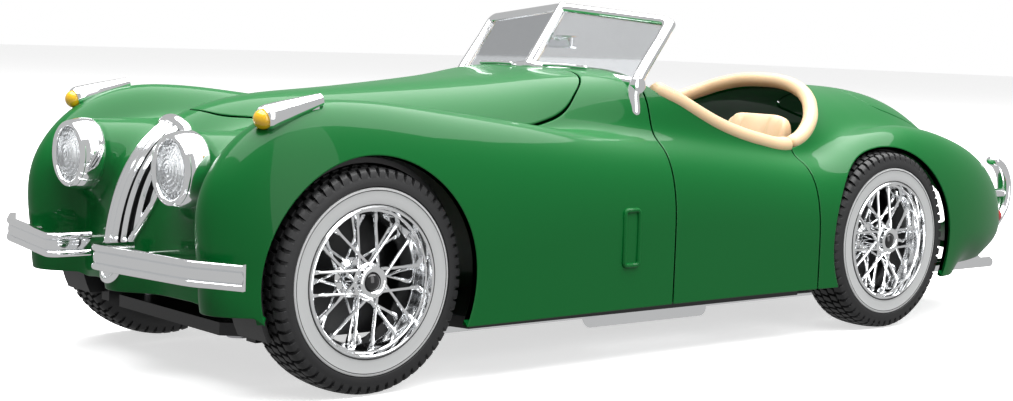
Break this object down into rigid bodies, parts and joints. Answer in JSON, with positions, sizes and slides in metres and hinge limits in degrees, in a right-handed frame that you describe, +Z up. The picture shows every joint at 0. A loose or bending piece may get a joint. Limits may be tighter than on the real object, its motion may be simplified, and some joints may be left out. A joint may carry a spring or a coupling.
{
  "type": "diecast collector car",
  "caption": "Diecast model of an open two-seat vintage sports car with spoked white-wall wheels, split screen, opening doors and bonnet.",
  "frame": {"origin": "on the table, below the middle of the car's bounding box", "axes": "+Z up, -Y towards the nose, +X towards the car's left side"},
  "size_m": [0.0644, 0.1854, 0.0524],
  "materials": {
    "green_paint": "gloss",
    "chrome": "polished",
    "steel": "satin",
    "black_plastic": "matte",
    "tyre_rubber": "matte",
    "white_rubber": "satin",
    "cream_trim": "satin",
    "clear_lens": "gloss",
    "window": "gloss",
    "amber_lens": "gloss",
    "red_lens": "gloss",
    "engine_metal": "satin"
  },
  "bodies": {
    "main_body": {"body_shell": "green_paint", "side_vents": "green_paint", "grille": "chrome", "headlamp_pod_left": "chrome", "headlamp_pod_right": "chrome", "sidelight_left": "chrome", "sidelight_right": "chrome", "front_bumper_left": "chrome", "front_bumper_right": "chrome", "windscreen_frame": "chrome", "rear_overriders": "chrome", "exhaust_pipe": "chrome", "mirror": "chrome", "chassis_screws": "steel", "headlamp_lens_left": "clear_lens", "headlamp_lens_right": "clear_lens", "windscreen_glass_left": "window", "windscreen_glass_right": "window", "sidelight_lens_left": "amber_lens", "sidelight_lens_right": "amber_lens", "tail_lamps": "red_lens", "cockpit_tub": "black_plastic", "chassis_plate": "black_plastic", "dashboard": "cream_trim", "seat_left": "cream_trim", "seat_right": "cream_trim", "cockpit_rim": "cream_trim", "steering_wheel": "black_plastic", "steering_column": "chrome", "engine_block": "engine_metal"},
    "left_door": {"door_left": "green_paint", "door_roll_left": "cream_trim", "door_trim_left": "cream_trim"},
    "right_door": {"door_right": "green_paint", "door_roll_right": "cream_trim", "door_trim_right": "cream_trim"},
    "bonnet_panel": {"bonnet": "green_paint"},
    "front_wheelset": {"front_axle": "steel", "tyre_front_left": "tyre_rubber", "whitewall_front_left": "white_rubber", "wheel_rim_front_left": "chrome", "wheel_spokes_front_left": "chrome", "wheel_hub_front_left": "chrome", "tyre_front_right": "tyre_rubber", "whitewall_front_right": "white_rubber", "wheel_rim_front_right": "chrome", "wheel_spokes_front_right": "chrome", "wheel_hub_front_right": "chrome"},
    "rear_wheelset": {"rear_axle": "steel", "tyre_rear_left": "tyre_rubber", "whitewall_rear_left": "white_rubber", "wheel_rim_rear_left": "chrome", "wheel_spokes_rear_left": "chrome", "wheel_hub_rear_left": "chrome", "tyre_rear_right": "tyre_rubber", "whitewall_rear_right": "white_rubber", "wheel_rim_rear_right": "chrome", "wheel_spokes_rear_right": "chrome", "wheel_hub_rear_right": "chrome"}
  },
  "joints": [
    {"name": "door_left_hinge", "type": "hinge", "parent": "main_body", "child": "left_door", "pos_m": [0.0295, -0.0086, 0.02], "axis": [0, 0, -1], "range_deg": [0, 60]},
    {"name": "door_right_hinge", "type": "hinge", "parent": "main_body", "child": "right_door", "pos_m": [-0.0295, -0.0086, 0.02], "axis": [0, 0, 1], "range_deg": [0, 60]},
    {"name": "bonnet_hinge", "type": "hinge", "parent": "main_body", "child": "bonnet_panel", "pos_m": [0, -0.014, 0.04235], "axis": [-1, 0, 0], "range_deg": [0, 50]},
    {"name": "front_axle_spin", "type": "hinge", "parent": "main_body", "child": "front_wheelset", "pos_m": [0, -0.064, 0.01485], "axis": [1, 0, 0], "continuous": true},
    {"name": "rear_axle_spin", "type": "hinge", "parent": "main_body", "child": "rear_wheelset", "pos_m": [0, 0.044, 0.01485], "axis": [1, 0, 0], "continuous": true}
  ]
}
